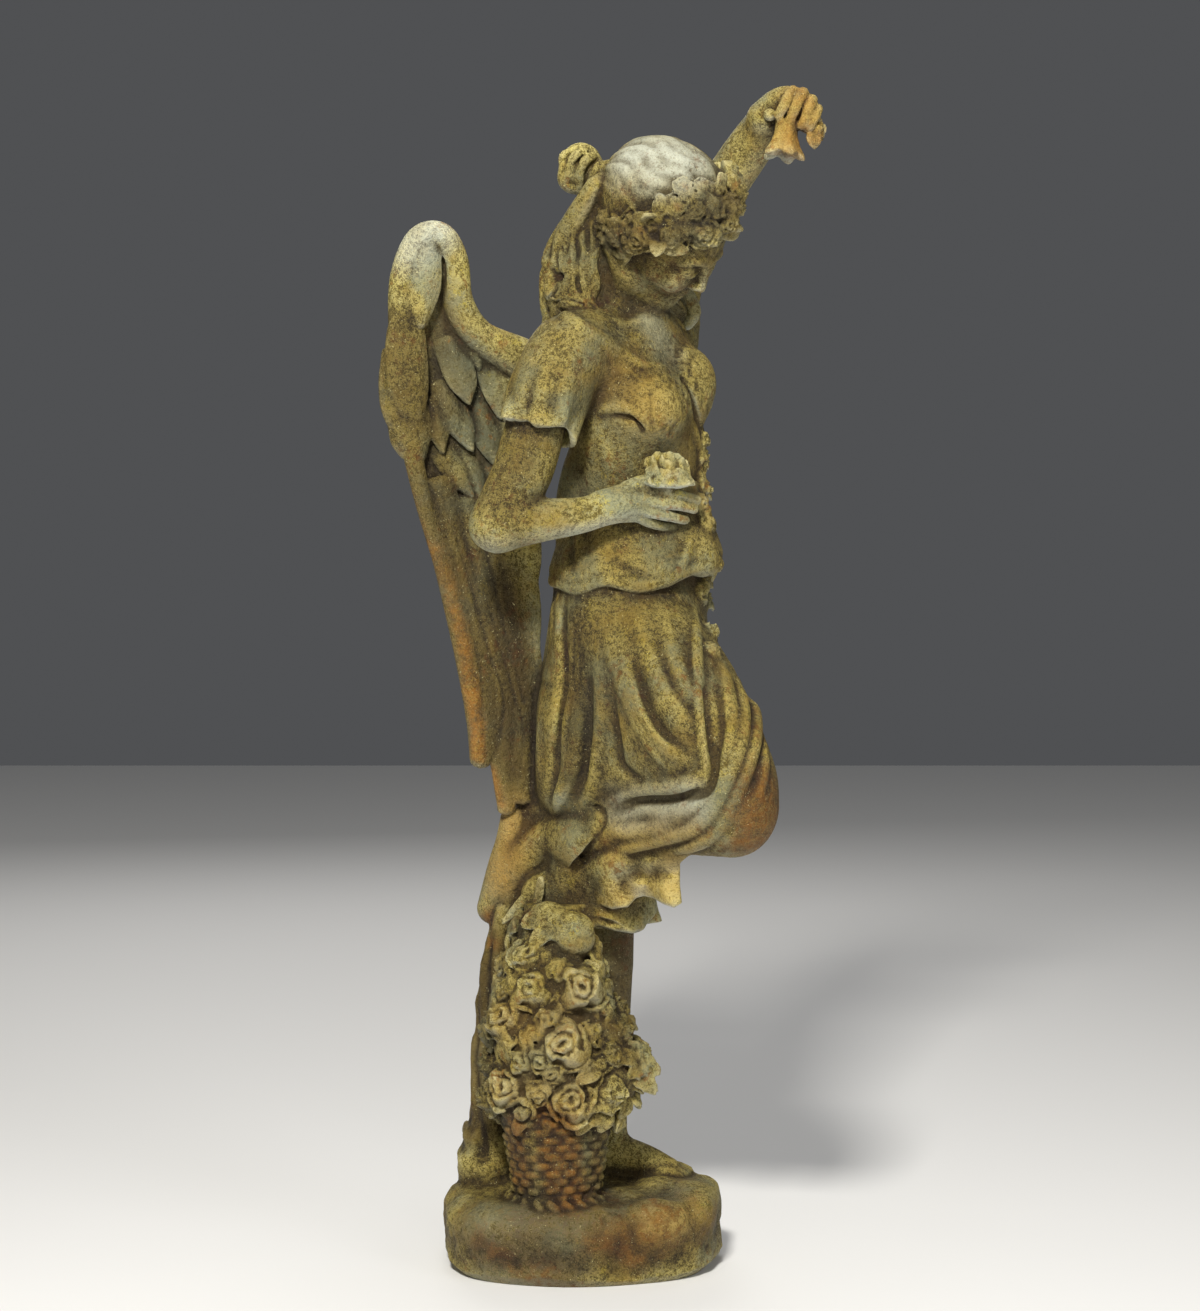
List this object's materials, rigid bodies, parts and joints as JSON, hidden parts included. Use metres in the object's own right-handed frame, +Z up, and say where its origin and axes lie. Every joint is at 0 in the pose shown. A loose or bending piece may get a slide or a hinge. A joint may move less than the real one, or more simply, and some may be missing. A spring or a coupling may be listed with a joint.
{
  "type": "garden angel statue",
  "caption": "Life-like garden statue of a young winged angel with a raised arm and a lifted leg, over a basket of roses on a rocky base.",
  "frame": {"origin": "middle of the flat underside of the rocky base", "axes": "+Z up; -Y is the side the statue is shown from; +X is to the viewer's right, the way the lifted knee and the raised hand point"},
  "size_m": [0.5145, 0.4911, 1.3751],
  "materials": {
    "weathered_cast_iron": "rough sand-cast iron with the remains of pale grey-green paint, ochre bloom and rust"
  },
  "bodies": {
    "root": {"angel_statue": "weathered_cast_iron"}
  },
  "joints": []
}
